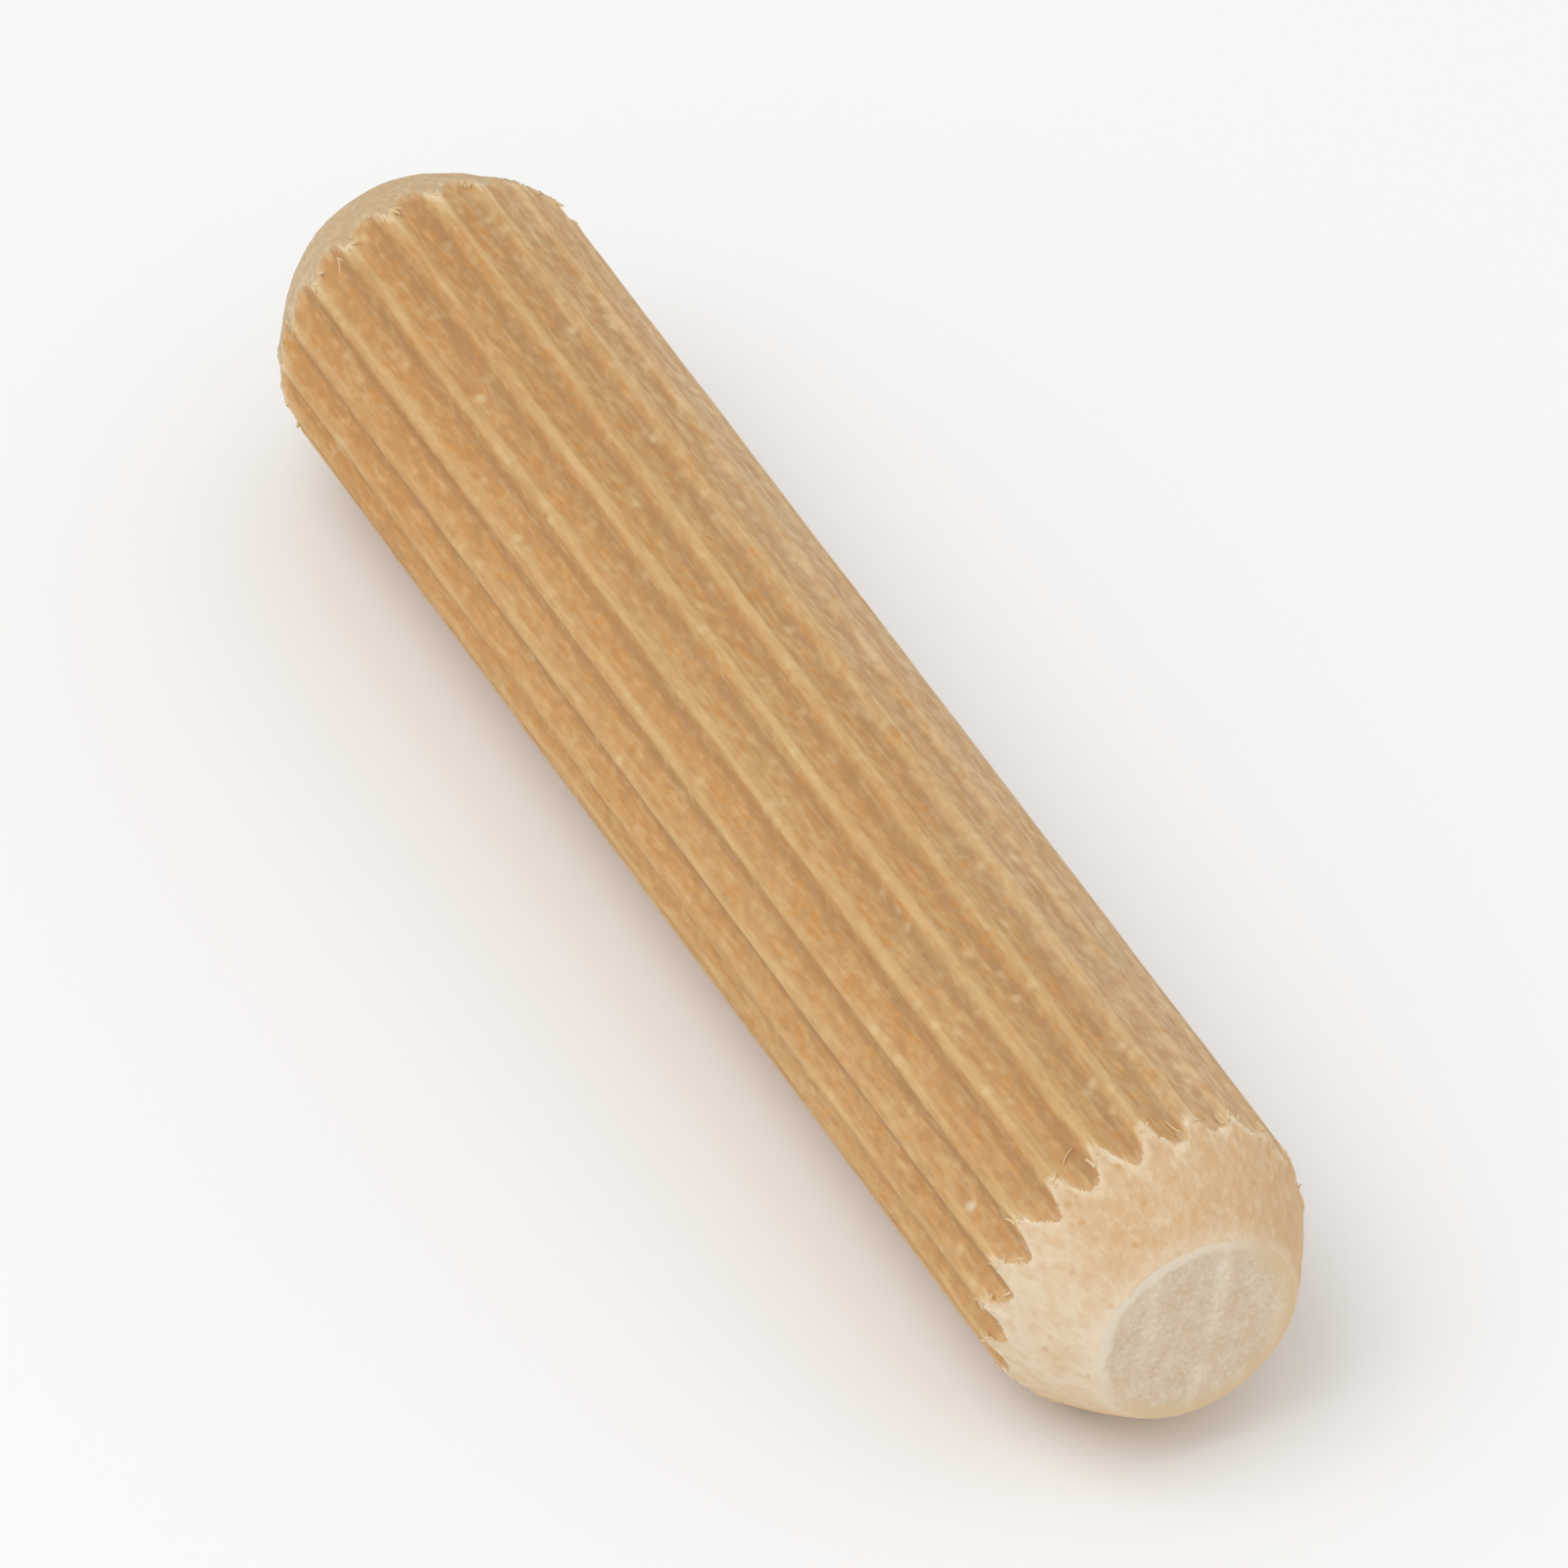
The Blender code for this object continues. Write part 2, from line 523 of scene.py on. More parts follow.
def roughen(obj, height, along, across, seed, direction="NORMAL", depth=2, only=""):
    """Displaces the surface by noise that is stretched along the grain.

    only names a vertex group that the displacement keeps to.
    """
    bpy.ops.object.select_all(action="DESELECT")
    bpy.ops.object.empty_add(location=(seed * along, 0.0, 0.0))
    guide = bpy.context.active_object
    guide.scale = (along, across, across)
    noise = bpy.data.textures.new("grain_noise", "CLOUDS")
    noise.noise_basis = "IMPROVED_PERLIN"
    noise.noise_scale = 1.0
    noise.noise_depth = depth
    noise.cloud_type = "COLOR" if direction == "RGB_TO_XYZ" else "GRAYSCALE"
    pick_object(obj)
    bpy.ops.object.modifier_add(type="DISPLACE")
    displace = obj.modifiers[-1]
    displace.texture = noise
    displace.texture_coords = "OBJECT"
    displace.texture_coords_object = guide
    displace.direction = direction
    displace.strength = height
    displace.mid_level = 0.5
    displace.vertex_group = only
    bpy.context.view_layer.update()
    bpy.ops.object.modifier_apply(modifier=displace.name)
    bpy.data.textures.remove(noise)
    bpy.data.objects.remove(guide)


# Shader maths


class Amount:
    """A number that varies over a surface. Arithmetic on it adds Math nodes to its finish."""

    def __init__(self, finish, socket):
        self.finish = finish
        self.socket = socket

    def maths(self, operation, *others):
        """The result of a Math node that this number goes into first."""
        return self.finish.maths(operation, self, *others)

    def __add__(self, other):
        return self.maths("ADD", other)

    def __radd__(self, other):
        return self.finish.maths("ADD", other, self)

    def __sub__(self, other):
        return self.maths("SUBTRACT", other)

    def __rsub__(self, other):
        return self.finish.maths("SUBTRACT", other, self)

    def __mul__(self, other):
        return self.maths("MULTIPLY", other)

    def __rmul__(self, other):
        return self.finish.maths("MULTIPLY", other, self)

    def __truediv__(self, other):
        return self.maths("DIVIDE", other)

    def __pow__(self, other):
        return self.maths("POWER", other)

    def __abs__(self):
        return self.maths("ABSOLUTE")

    def rise(self, low, high):
        """0 below low and 1 above high, with a smooth step between them."""
        node = self.finish.add(
            "ShaderNodeMapRange",
            {"interpolation_type": "SMOOTHSTEP"},
            {"Value": self, "From Min": low, "From Max": high},
        )
        return Amount(self.finish, node.outputs[0])


class Finish:
    """A material with one Principled BSDF, and the ways to add nodes to it."""

    def __init__(self, name):
        self.material = bpy.data.materials.new(name)
        self.material.use_nodes = True
        self.tree = self.material.node_tree
        self.shader = self.tree.nodes["Principled BSDF"]
        place = self.add("ShaderNodeTexCoord")
        self.place = place.outputs["Object"]
        parts = self.add("ShaderNodeSeparateXYZ", sockets={0: self.place})
        self.x = Amount(self, parts.outputs[0])
        self.y = Amount(self, parts.outputs[1])
        self.z = Amount(self, parts.outputs[2]) - AXIS_HEIGHT
        self.radius = (self.y * self.y + self.z * self.z) ** 0.5

    def add(self, kind, settings=None, sockets=None):
        """A node of this kind, with its settings and then the values or links of its sockets."""
        node = self.tree.nodes.new(kind)
        for name, value in (settings or {}).items():
            setattr(node, name, value)
        for key, value in (sockets or {}).items():
            if isinstance(value, Amount):
                value = value.socket
            if isinstance(value, bpy.types.NodeSocket):
                self.tree.links.new(value, node.inputs[key])
            else:
                node.inputs[key].default_value = value
        return node

    def maths(self, operation, *values):
        """The result of a Math node that does this operation on what goes into it."""
        node = self.add("ShaderNodeMath", {"operation": operation}, dict(enumerate(values)))
        return Amount(self, node.outputs[0])

    def noise(self, along, across, seed=0.0, detail=2.0, roughness=0.5):
        """Noise from 0 to 1 with grains of this size along and across the wood."""
        scaled = self.add(
            "ShaderNodeMapping",
            {"vector_type": "POINT"},
            {
                "Vector": self.place,
                "Location": (seed, seed, seed),
                "Scale": (1 / along, 1 / across, 1 / across),
            },
        )
        node = self.add(
            "ShaderNodeTexNoise",
            {"noise_dimensions": "3D"},
            {"Vector": scaled.outputs[0], "Scale": 1.0, "Detail": detail, "Roughness": roughness},
        )
        return Amount(self, node.outputs[0])

    def specks(self, spacing, radius, seed=0.0, core=0.6):
        """1 in small round spots, one in about every other cell of this size, and 0 elsewhere.

        Each fades from its core, a share of its radius, to nearly twice its radius.
        """
        scaled = self.add(
            "ShaderNodeMapping",
            {"vector_type": "POINT"},
            {"Vector": self.place, "Location": (seed, seed, seed), "Scale": (1 / spacing,) * 3},
        )
        node = self.add(
            "ShaderNodeTexVoronoi",
            {"voronoi_dimensions": "3D", "feature": "F1"},
            {"Vector": scaled.outputs[0], "Scale": 1.0, "Randomness": 1.0},
        )
        distance = Amount(self, node.outputs["Distance"])
        parts = self.add("ShaderNodeSeparateXYZ", sockets={0: node.outputs["Color"]})
        chance = Amount(self, parts.outputs[0])
        spot = 1 - distance.rise(core * radius / spacing, 1.8 * radius / spacing)
        return spot * chance.rise(0.45, 0.55)

    def spot(self, point, radius):
        """1 round this point, and 0 beyond this distance from it."""
        x = self.x - point.x
        y = self.y - point.y
        z = self.z - (point.z - AXIS_HEIGHT)
        distance = (x * x + y * y + z * z) ** 0.5
        return 1 - distance.rise(0.3 * radius, radius)

    def attribute(self, name):
        """A number stored on the mesh."""
        node = self.add("ShaderNodeAttribute", {"attribute_name": name})
        return Amount(self, node.outputs["Fac"])

    def mix(self, share, under, over):
        """The colour under, covered by the colour over as far as share says."""
        under, over = (
            (*colour[:3], 1.0) if not isinstance(colour, bpy.types.NodeSocket) else colour
            for colour in (under, over)
        )
        node = self.add(
            "ShaderNodeMix",
            {"data_type": "RGBA", "blend_type": "MIX", "clamp_factor": True},
            {MIX_FACTOR: share, MIX_UNDER: under, MIX_OVER: over},
        )
        return node.outputs[MIX_RESULT]

    def lay(self, colour, *layers):
        """The colour, covered by one layer after another, each given as a share and a colour."""
        for share, over in layers:
            colour = self.mix(share, colour, over)
        return colour

    def finish_with(self, colour, roughness, height, distance, specular=0.3):
        """Links colour, roughness and relief to the shader, and gives the material."""
        bump = self.add(
            "ShaderNodeBump", sockets={"Strength": 1.0, "Distance": distance, "Height": height}
        )
        self.tree.links.new(colour, self.shader.inputs["Base Color"])
        self.tree.links.new(roughness.socket, self.shader.inputs["Roughness"])
        self.tree.links.new(bump.outputs[0], self.shader.inputs["Normal"])
        self.shader.inputs["Specular IOR Level"].default_value = specular
        return self.material


def fluted_wood(sizes, colours):
    """Bare wood along the flutes: torn grain, flecks, golden crests with a painted highlight, and
    painted shade in the grooves.
    """
    finish = Finish("fluted_wood")
    past_edge = finish.attribute("past_edge")
    streaks = finish.noise(4.0 * MM, 0.22 * MM, seed=7.0, detail=2.0)
    tone = finish.noise(7.0 * MM, 1.6 * MM, seed=11.0, detail=1.0)
    patches = finish.noise(1.6 * MM, 0.7 * MM, seed=13.0, detail=2.0)
    mottle = finish.noise(0.42 * MM, 0.20 * MM, seed=3.0, detail=2.0, roughness=0.45)
    fibres = finish.noise(0.9 * MM, 0.12 * MM, seed=29.0, detail=3.0)
    warm_flecks = finish.noise(0.40 * MM, 0.24 * MM, seed=17.0, detail=1.0)
    pale_spots = finish.specks(0.42 * MM, 0.13 * MM, seed=19.0, core=0.0)

    # The sides and ends, seen from the camera, and the wood near the scalloped edge
    far_side = (finish.y / finish.radius).rise(-0.10, 0.85)
    near_side = (-1 * finish.y / finish.radius).rise(0.45, 0.85)
    near_end = finish.x.rise(0.0, 18 * MM)
    far_end = 1 - finish.x.rise(-18 * MM, -4 * MM)
    near_edge = past_edge.rise(-1.0, -0.1)

    # How far each point lies from the nearest crest and from the foot of the steep side of its
    # flute, as a share of the distance between two crests
    turn = finish.maths("ARCTAN2", -1 * finish.y, finish.z)
    turns = turn * (sizes.flute_count / (2 * math.pi)) + (streaks - 0.5) * 0.16
    from_crest = abs((turns + 0.5).maths("FRACT") - 0.5)
    from_foot = abs((turns + (0.5 - FOOT_SHARE)).maths("FRACT") - 0.5)

    # The crests (golden wood and painted highlight), the painted shade at the feet of the steep
    # sides, both fainter on the far side, and painted shade over the wider hollows
    depth = sizes.diameter / 2 - finish.radius
    cut = 0.25 + 0.75 * depth.rise(0.1 * sizes.flute_depth, 0.6 * sizes.flute_depth)
    # The crests' painted highlight and the painted shade at the feet both fade on the far side,
    # where light falls straight on
    crest = (1 - from_crest.rise(0.04, 0.26)) * (1 - 0.45 * far_side)
    groove_shade = (1 - from_foot.rise(0.02, 0.17)) * cut * (1 - 0.4 * far_side)
    hollow_shade = (1 - from_foot.rise(0.10, 0.36)) * cut

    # Broad changes of tone, with painted shade over the hollows and towards the far end
    warm = warm_flecks.rise(0.46, 0.72) * (1 - 0.6 * patches.rise(0.4, 0.6))
    colour = finish.lay(
        colours.flute,
        (far_side + near_end * 0.35, colours.flute_pale),
        (tone.rise(0.35, 0.7) * 0.35 + far_end * 0.3, colours.flute_warm),
        # Painted shade over the wider hollows, in the colour of the darker fibres
        (hollow_shade * (0.1 + 0.5 * tone), colours.flute_dark),
        # Painted shade towards the far end, on the near side of the pin
        (far_end * (1 - far_side) * 0.24, colours.flute_dark),
        (near_side * 0.20, colours.flute_warm),
        (warm * (1 - 0.5 * far_side), colours.flute_warm),
        (near_edge * 0.35, colours.flute_warm),
    )

    # Fine mottling, crests of golden wood with a painted highlight, and painted shade at the feet
    # of the steep sides
    colour = finish.lay(
        colour,
        ((1 - mottle.rise(0.28, 0.52)) * 0.4, colours.flute_dark),
        (mottle.rise(0.48, 0.72) * 0.45, colours.crest),
        (crest * streaks.rise(0.25, 0.75) * 0.75, colours.crest),
        (groove_shade * (0.2 + 0.5 * patches), colours.groove_shade),
    )

    # Pale spots, fuzz on the far side and the white fleck
    spotted = pale_spots * (0.6 * patches.rise(0.42, 0.72) + 0.15 * far_side)
    fuzzy = 0.7 * patches.rise(0.35, 0.75) + mottle.rise(0.42, 0.66) + streaks.rise(0.42, 0.66)
    colour = finish.lay(
        colour,
        (spotted, colours.fleck),
        (far_side * 0.15 * fuzzy, colours.fuzz),
        (0.65 * finish.spot(on_pin(*FLECK_PLACE), FLECK_RADIUS), colours.end_rim),
    )

    # Torn fibres along the scalloped edge, worn crests before it and fibres all over
    ragged = past_edge + (fibres - 0.5)
    lip = ragged.rise(-0.40, -0.02) * (0.25 + 0.75 * crest)
    worn_crest = past_edge.rise(-1.4, -0.1) * (0.15 + 0.85 * crest) * (0.4 + 0.6 * far_end)
    colour = finish.lay(
        colour,
        (lip * 0.75, colours.fuzz),
        (worn_crest * (0.2 + 0.5 * patches), colours.fleck),
        ((1 - fibres.rise(0.32, 0.50)) * 0.22, colours.flute_dark),
        (fibres.rise(0.52, 0.68) * 0.18, colours.fleck),
    )
    height = 0.55 * mottle + 0.3 * fibres + 0.15 * streaks
    roughness = 0.68 + 0.16 * mottle
    return finish.finish_with(colour, roughness, height, 0.04 * MM)


def chamfer_wood(sizes, colours):
    """Cream, torn wood of the chamfers, palest along the scalloped edge and the rim, with painted
    light and shade on its sides and painted shade over the far chamfer.
    """
    finish = Finish("chamfer_wood")
    past_edge = finish.attribute("past_edge")
    streaks = finish.noise(1.0 * MM, 0.12 * MM, seed=5.0, detail=3.0)
    patches = finish.noise(0.9 * MM, 0.5 * MM, seed=9.0, detail=2.0)
    mottle = finish.noise(0.34 * MM, 0.20 * MM, seed=15.0, detail=2.0)
    clumps = finish.noise(0.6 * MM, 0.30 * MM, seed=27.0, detail=2.0)
    blotches = finish.noise(0.55 * MM, 0.36 * MM, seed=21.0, detail=1.0)
    specks = finish.specks(0.50 * MM, 0.07 * MM, seed=1.0)
    grain = finish.noise(2.5 * MM, 0.14 * MM, seed=33.0, detail=2.0)
    far_side = (finish.y / finish.radius).rise(0.0, 1.0)
    near_side = (-1 * finish.y / finish.radius).rise(0.5, 1.0)
    far_end = 1 - finish.x.rise(-1 * MM, 1 * MM)

    # Warmer and paler patches, streaks and specks, painted shade on the upper back side and painted
    # light on the lower near side
    colour = finish.lay(
        colours.chamfer,
        (patches.rise(0.36, 0.66) * 0.55, colours.chamfer_warm),
        # Painted shade on the upper back side of the chamfers
        (far_side * 0.35, colours.chamfer_warm),
        ((1 - mottle.rise(0.34, 0.54)) * 0.48, colours.chamfer_warm),
        (mottle.rise(0.50, 0.74) * 0.25, colours.fuzz),
        (grain.rise(0.50, 0.70) * 0.55, colours.chamfer_warm),
        (streaks.rise(0.50, 0.72) * 0.32, colours.fuzz),
        # Painted light on the lower near side, which the floor lights from below
        (near_side * 0.5, colours.end_rim),
        ((1 - blotches.rise(0.32, 0.52)) * 0.30, colours.chamfer_warm),
        (specks * 0.45, colours.flute_warm),
    )

    # Frayed wood along the scalloped edge, the pale rim, and painted shade over the far chamfer
    frayed = 1 - (past_edge + (clumps - 0.5) * 1.6).rise(-0.05, 0.35)
    end_radius = sizes.end_face_diameter / 2
    rim = 1 - finish.radius.rise(end_radius, end_radius + 0.35 * MM)
    shade = 0.80 - 0.2 * mottle.rise(0.35, 0.65) - 0.16 * clumps.rise(0.35, 0.65)
    colour = finish.lay(
        colour,
        (frayed * (1 - near_side) * 0.6, colours.fuzz),
        (frayed * clumps.rise(0.46, 0.60) * 0.8, colours.end_rim),
        (rim * 0.7 * patches, colours.end_rim),
        (far_end * shade, colours.chamfer_shade),
    )
    height = 0.45 * streaks + 0.55 * mottle
    roughness = 0.75 + 0.12 * streaks
    return finish.finish_with(colour, roughness, height, 0.055 * MM)


def end_wood(sizes, colours):
    """Sawn end grain: fine mottling, a few pores, faint growth rings, a pale rim and painted shade
    over the far end face.
    """
    finish = Finish("end_wood")
    fine = finish.noise(0.18 * MM, 0.13 * MM, seed=2.0, detail=2.0)
    patches = finish.noise(0.8 * MM, 0.6 * MM, seed=6.0, detail=2.0)
    clouds = finish.noise(1.5 * MM, 1.3 * MM, seed=10.0, detail=1.0)
    wander = finish.noise(3.0 * MM, 1.2 * MM, seed=8.0, detail=2.0)
    pores = finish.specks(0.62 * MM, 0.06 * MM, seed=4.0)
    far_end = 1 - finish.x.rise(-1 * MM, 1 * MM)
    upper_side = ((finish.z - finish.y) / finish.radius).rise(-0.3, 1.1)

    # Growth rings round the heart of the tree
    across = finish.y - HEART_Y
    upward = finish.z - HEART_Z
    from_heart = (across * across + upward * upward) ** 0.5
    rings = (from_heart / RING_SPACING + wander * 0.25).maths("FRACT")
    ring_line = rings.rise(0.60, 0.80) * (1 - rings.rise(0.82, 0.97))

    # The ragged rim: pale on the upper side, and like the chamfer on the other
    end_radius = sizes.end_face_diameter / 2
    ragged_radius = finish.radius + (patches - 0.5) * 0.6 * MM
    edge = ragged_radius.rise(end_radius - 0.65 * MM, end_radius - 0.10 * MM)
    rim = ragged_radius.rise(end_radius - 0.32 * MM, end_radius - 0.12 * MM) * upper_side
    # Painted shade over the far end face, as on the far chamfer
    shade = far_end * (0.60 - 0.2 * fine.rise(0.35, 0.65))
    colour = finish.lay(
        colours.end_face,
        (patches.rise(0.34, 0.66) * 0.6, colours.end_shade),
        (ring_line * 0.8 * clouds, colours.end_rim),
        ((1 - rings.rise(0.0, 0.25)) * 0.2, colours.end_shade),
        ((1 - fine.rise(0.30, 0.52)) * 0.4, colours.end_shade),
        (fine.rise(0.50, 0.72) * 0.4, colours.end_rim),
        (edge * (1 - upper_side) * 0.9, colours.chamfer),
        (rim * (0.4 + 0.6 * clouds), colours.end_rim),
        (shade, colours.chamfer_shade),
        (pores * 0.5, colours.flute_dark),
    )
    height = 0.6 * fine + 0.4 * patches - 0.4 * pores
    roughness = 0.78 + 0.1 * fine
    return finish.finish_with(colour, roughness, height, 0.04 * MM)


def fibre_wood(colours):
    """Loose fibres: pale, with a warmer tone here and there."""
    finish = Finish("fibre_wood")
    tone = finish.noise(0.5 * MM, 0.3 * MM, seed=31.0, detail=1.0)
    colour = finish.mix(tone.rise(0.35, 0.65), colours.fleck, colours.chamfer)
    return finish.finish_with(colour, 0.7 + 0.1 * tone, tone, 0.01 * MM)


# The pin


def cut_flutes(bar, sizes):
    """Draws the bar's lengthwise edges in to the surface of the flutes, then adds rows along it."""
    start_editing(bar, "VERT")
    shape = bmesh.from_edit_mesh(bar.data)
    corners_by_depth = {}
    for vert in shape.verts:
        depth = flute_depth_at(angle_of(vert.co), sizes)
        corners_by_depth.setdefault(round(depth / MM, 6), []).append(vert.index)
    for depth_mm, indices in corners_by_depth.items():
        bpy.ops.mesh.select_all(action="DESELECT")
        shape = bmesh.from_edit_mesh(bar.data)
        shape.verts.ensure_lookup_table()
        for index in indices:
            shape.verts[index].select_set(True)
        narrowing = 1 - depth_mm * MM / (sizes.diameter / 2)
        bpy.ops.transform.resize(value=(1.0, narrowing, narrowing), center_override=AXIS_POINT)
    bpy.ops.mesh.select_mode(type="EDGE")
    pick_parts(bar, "edges", lambda edge: edge.calc_length() > sizes.length / 2)
    bpy.ops.mesh.subdivide(number_cuts=ROWS_ALONG)
    stop_editing()


def draw_out_ends(shaper, sizes):
    """Draws both end faces of the shaper out, ring by ring, along the rounded chamfer.

    The rims of the end faces are then bevelled, and the faces filled with rings.
    """
    start_editing(shaper, "FACE")
    pick_parts(shaper, "faces", lambda face: abs(face.normal.x) > CYLINDER_END)
    start_radius = sizes.diameter / 2 + CUT_MARGIN
    end_radius = sizes.end_face_diameter / 2
    x = chamfer_x(start_radius, sizes)
    radius = start_radius
    for ring in range(1, CHAMFER_RINGS + 1):
        next_radius = start_radius + (end_radius - start_radius) * ring / CHAMFER_RINGS
        next_x = chamfer_x(next_radius, sizes)
        bpy.ops.mesh.extrude_region_move()
        bpy.ops.transform.resize(
            value=(next_x / x, next_radius / radius, next_radius / radius),
            center_override=AXIS_POINT,
        )
        x, radius = next_x, next_radius
    bpy.ops.mesh.select_mode(type="EDGE")
    pick_parts(
        shaper,
        "edges",
        lambda edge: all(abs(abs(vert.co.x) - x) < x * SAME_PLACE for vert in edge.verts),
    )
    bpy.ops.mesh.bevel(offset=sizes.rim_bevel, segments=RIM_STEPS, affect="EDGES")
    bpy.ops.mesh.select_mode(type="FACE")
    pick_parts(
        shaper,
        "faces",
        lambda face: abs(face.normal.x) > FLAT_END and len(face.verts) > MOST_SMALL_CORNERS,
    )
    for _ in range(END_FACE_RINGS):
        bpy.ops.mesh.inset(thickness=end_radius / (END_FACE_RINGS + 2))
    bpy.ops.mesh.poke()
    stop_editing()


def mark_torn_band(shaper, sizes):
    """Makes the vertex group torn_band, the part of the chamfers where the flutes run out."""
    group = shaper.vertex_groups.new(name="torn_band")
    low = chamfer_x(sizes.diameter / 2, sizes) - TORN_BEFORE
    high = chamfer_x(sizes.diameter / 2 - sizes.flute_depth, sizes) + TORN_BEYOND
    for vert in shaper.data.vertices:
        place = (abs(vert.co.x) - low) / (high - low)
        if 0 < place < 1:
            group.add([vert.index], math.sin(math.pi * place) ** 0.5, "REPLACE")


def shorten_far_chamfer(shaper, sizes):
    """Squeezes the chamfer at the far end towards its end face."""
    start_editing(shaper, "VERT")
    pick_parts(shaper, "verts", lambda vert: vert.co.x < 0)
    bpy.ops.transform.resize(
        value=(sizes.far_chamfer_share, 1.0, 1.0),
        center_override=(-sizes.length / 2, 0.0, AXIS_HEIGHT),
    )
    stop_editing()


def assign_end_material(shaper, sizes):
    """Gives the flat end faces the shaper's second material."""
    limit = sizes.length / 2 - sizes.rim_bevel / 2
    for face in shaper.data.polygons:
        if abs(face.center.x) > limit and abs(face.normal.x) > END_GRAIN:
            face.material_index = 1


def model_bar(sizes, colours):
    """What the pin is cut from: a bar with wavy, grainy flutes along its whole length."""
    bar = add_cylinder(
        "fluted_pin",
        sizes.flute_count * COLUMNS_PER_FLUTE,
        sizes.diameter / 2,
        sizes.length + 2 * BAR_OVERHANG,
    )
    cut_flutes(bar, sizes)
    roughen(
        bar, sizes.waviness, along=5 * MM, across=0.6 * MM, seed=1.7, direction="RGB_TO_XYZ"
    )
    roughen(bar, sizes.waviness / 2, along=1.2 * MM, across=0.18 * MM, seed=4.1)
    bar.data.materials.append(fluted_wood(sizes, colours))
    return bar


def model_shaper(sizes, colours):
    """What the ends are cut with: a revolved shape with both torn chamfers and end faces."""
    start_radius = sizes.diameter / 2 + CUT_MARGIN
    shaper = add_cylinder(
        "end_shaper",
        sizes.flute_count * TURNS_PER_FLUTE,
        start_radius,
        2 * chamfer_x(start_radius, sizes),
    )
    draw_out_ends(shaper, sizes)
    mark_torn_band(shaper, sizes)
    shorten_far_chamfer(shaper, sizes)
    fine_height = sizes.roughness_height
    roughen(
        shaper, sizes.tear_height, along=0.5 * MM, across=0.24 * MM, seed=7.7, only="torn_band"
    )
    roughen(shaper, fine_height, along=0.5 * MM, across=0.12 * MM, seed=2.3, depth=3)
    roughen(shaper, 2 * fine_height, along=2.0 * MM, across=0.7 * MM, seed=5.9)
    shaper.data.materials.append(chamfer_wood(sizes, colours))
    shaper.data.materials.append(end_wood(sizes, colours))
    assign_end_material(shaper, sizes)
    return shaper


def cut_ends(bar, shaper):
    """Leaves of the bar only what lies in the shaper too, and removes the shaper."""
    pick_object(bar)
    bpy.ops.object.modifier_add(type="BOOLEAN")
    cut = bar.modifiers[-1]
    cut.operation = "INTERSECT"
    cut.solver = "EXACT"
    cut.material_mode = "TRANSFER"
    cut.object = shaper
    bpy.ops.object.modifier_apply(modifier=cut.name)
    bpy.data.objects.remove(shaper)
    if not bar.data.polygons:
        raise RuntimeError("the ends could not be cut on the fluted bar")


def drop_loose_corners(pin):
    """Removes the points between two edges only, which the cut leaves along some edges."""
    start_editing(pin, "VERT")
    pick_parts(pin, "verts", lambda vert: len(vert.link_edges) == 2)
    bpy.ops.mesh.dissolve_verts()
    stop_editing()


def mark_distance_past_edge(pin, sizes):
    """Stores how far each point lies past the flutes' run-out, towards its end, in millimetres."""
    attribute = pin.data.attributes.new("past_edge", "FLOAT", "POINT")
    for vert in pin.data.vertices:
        edge_x = run_out_x(vert.co.x, angle_of(vert.co), sizes)
        attribute.data[vert.index].value = (abs(vert.co.x) - edge_x) / MM


def wear(pin, repeats, wanted):
    """Smooths those points of the pin for which wanted is true."""
    start_editing(pin, "VERT")
    pick_parts(pin, "verts", wanted)
    bpy.ops.mesh.vertices_smooth(factor=0.5, repeat=repeats)
    stop_editing()


def wear_edges(pin, sizes):
    """Rounds off the scalloped edges, the far one more, and the rims of the end faces."""
    past_edge = pin.data.attributes["past_edge"].data
    worn = {i for i, item in enumerate(past_edge) if abs(item.value) < WORN_WIDTH / MM}
    end_radius = sizes.end_face_diameter / 2
    rim_x = sizes.length / 2 - WORN_RIM_WIDTH
    wear(pin, sizes.edge_wear, lambda vert: vert.index in worn)
    wear(pin, sizes.far_edge_wear, lambda vert: vert.index in worn and vert.co.x < 0)
    wear(
        pin,
        sizes.rim_wear,
        lambda vert: abs(vert.co.x) > rim_x and radius_of(vert.co) > end_radius - WORN_RIM_WIDTH,
    )


class OBJECT_OT_model_dowel_pin(bpy.types.Operator):
    """Model the fluted pin: a fluted bar, cut by a revolved shape with both rounded chamfers"""

    bl_idname = "object.model_dowel_pin"
    bl_label = "Model Dowel Pin"

    def execute(self, context):
        sizes = context.scene.dowel_pin_sizes
        colours = context.scene.dowel_pin_colours
        pin = model_bar(sizes, colours)
        cut_ends(pin, model_shaper(sizes, colours))
        drop_loose_corners(pin)
        mark_distance_past_edge(pin, sizes)
        wear_edges(pin, sizes)
        bpy.ops.object.shade_smooth_by_angle(angle=SMOOTH_ANGLE)
        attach(pin, "root")
        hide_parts("dowel_pin")
        return {"FINISHED"}


# Loose fibres


